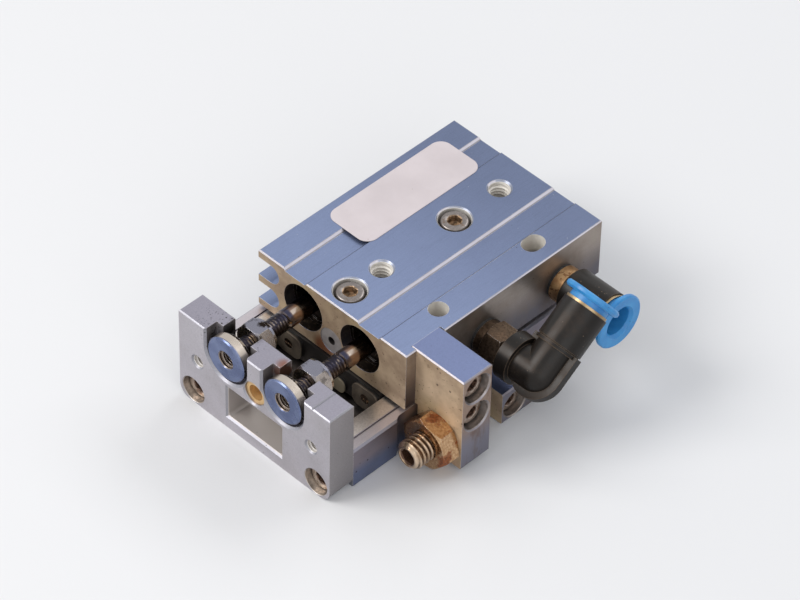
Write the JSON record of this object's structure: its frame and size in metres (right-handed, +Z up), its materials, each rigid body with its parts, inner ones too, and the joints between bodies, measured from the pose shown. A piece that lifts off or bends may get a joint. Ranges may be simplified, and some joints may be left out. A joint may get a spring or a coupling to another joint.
{
  "type": "pneumatic slide table",
  "caption": "Compact twin-rod pneumatic slide table with a ball-guided table, yoke plate, adjustable end stop and push-in air fittings.",
  "frame": {"origin": "centre plane of the table's mounting face, in line with the housing's front face", "axes": "+Z up from the table face to the housing top, +Y along the stroke towards the rear, +X to the port side"},
  "size_m": [0.0593, 0.0719, 0.0304],
  "materials": {
    "anodised_body": "satin",
    "anodised_table": "satin",
    "anodised_yoke": "satin",
    "machined_alloy": "satin",
    "plug_metal": "satin",
    "label_film": "matte",
    "spring_steel": "satin",
    "cover_bronze": "satin",
    "seal_rubber": "matte",
    "guide_steel": "satin",
    "ball_steel": "gloss",
    "black_plastic": "matte",
    "screw_steel": "satin",
    "rusty_screw": "satin",
    "thread_steel": "satin",
    "nut_brass_rust": "satin",
    "amber_bush": "satin",
    "rod_steel": "gloss",
    "nut_steel": "satin",
    "polished_steel": "satin",
    "magnet_dark": "satin",
    "stud_dark": "satin",
    "stud_brass": "satin",
    "collar_brass": "satin",
    "fitting_plastic": "satin",
    "blue_plastic": "gloss"
  },
  "bodies": {
    "housing_body": {"housing": "anodised_body", "front_plug": "plug_metal", "label": "label_film", "front_rings": "spring_steel", "rod_covers": "cover_bronze", "rod_seals": "seal_rubber", "front_bumpers": "seal_rubber", "rear_bumpers": "seal_rubber", "rear_plugs": "machined_alloy", "rear_plug_seals": "seal_rubber", "rear_rings": "spring_steel", "guide_block": "guide_steel", "guide_screws": "screw_steel", "end_plate_front": "guide_steel", "end_plate_rear": "guide_steel", "end_cap_front": "black_plastic", "end_cap_rear": "black_plastic", "grease_plugs": "screw_steel", "balls_left": "ball_steel", "balls_right": "ball_steel", "stop_block": "machined_alloy", "stop_block_screws": "rusty_screw", "port_gaskets": "seal_rubber", "elbow_stud": "stud_dark", "straight_stud": "stud_brass", "straight_body": "fitting_plastic", "straight_collar": "collar_brass", "straight_collet": "collar_brass", "straight_tube_seal": "seal_rubber"},
    "table_body": {"table": "anodised_table", "race_left": "guide_steel", "race_right": "guide_steel", "yoke": "anodised_yoke", "yoke_screws": "rusty_screw", "yoke_bush": "amber_bush", "rear_stop": "machined_alloy", "rear_stop_screw": "rusty_screw", "rod_left": "rod_steel", "rod_right": "rod_steel", "rod_nuts": "nut_steel", "rod_buttons": "polished_steel", "pistons": "machined_alloy", "piston_seals": "seal_rubber", "magnets": "magnet_dark"},
    "stop_screw_body": {"stop_screw": "thread_steel"},
    "stop_nut_body": {"stop_nut": "nut_brass_rust"},
    "elbow_swivel_body": {"elbow_body": "fitting_plastic", "elbow_collar": "collar_brass", "elbow_collet": "collar_brass", "elbow_tube_seal": "seal_rubber"},
    "elbow_ring_body": {"elbow_release": "blue_plastic"},
    "straight_ring_body": {"straight_release": "blue_plastic"}
  },
  "joints": [
    {"name": "table_slide", "type": "slide", "parent": "housing_body", "child": "table_body", "axis": [0, 1, 0], "range_m": [-0.0054, 0.0115]},
    {"name": "stop_screw_adjust", "type": "slide", "parent": "housing_body", "child": "stop_screw_body", "axis": [0, 1, 0], "range_m": [-0.003, 0]},
    {"name": "stop_nut_turn", "type": "hinge", "parent": "stop_screw_body", "child": "stop_nut_body", "pos_m": [0.02585, 0.0006, 0.0065], "axis": [0, 1, 0], "continuous": true},
    {"name": "elbow_swivel", "type": "hinge", "parent": "housing_body", "child": "elbow_swivel_body", "pos_m": [0.0336, 0.0206, 0.0155], "axis": [1, 0, 0], "range_deg": [0, 85]},
    {"name": "elbow_ring_press", "type": "slide", "parent": "elbow_swivel_body", "child": "elbow_ring_body", "axis": [0, -0.809, -0.5878], "range_m": [0, 0.001], "stiffness_N_per_m": 400, "springref_m": -0.001},
    {"name": "straight_ring_press", "type": "slide", "parent": "housing_body", "child": "straight_ring_body", "axis": [-1, 0, 0], "range_m": [0, 0.001], "stiffness_N_per_m": 400, "springref_m": -0.001}
  ]
}
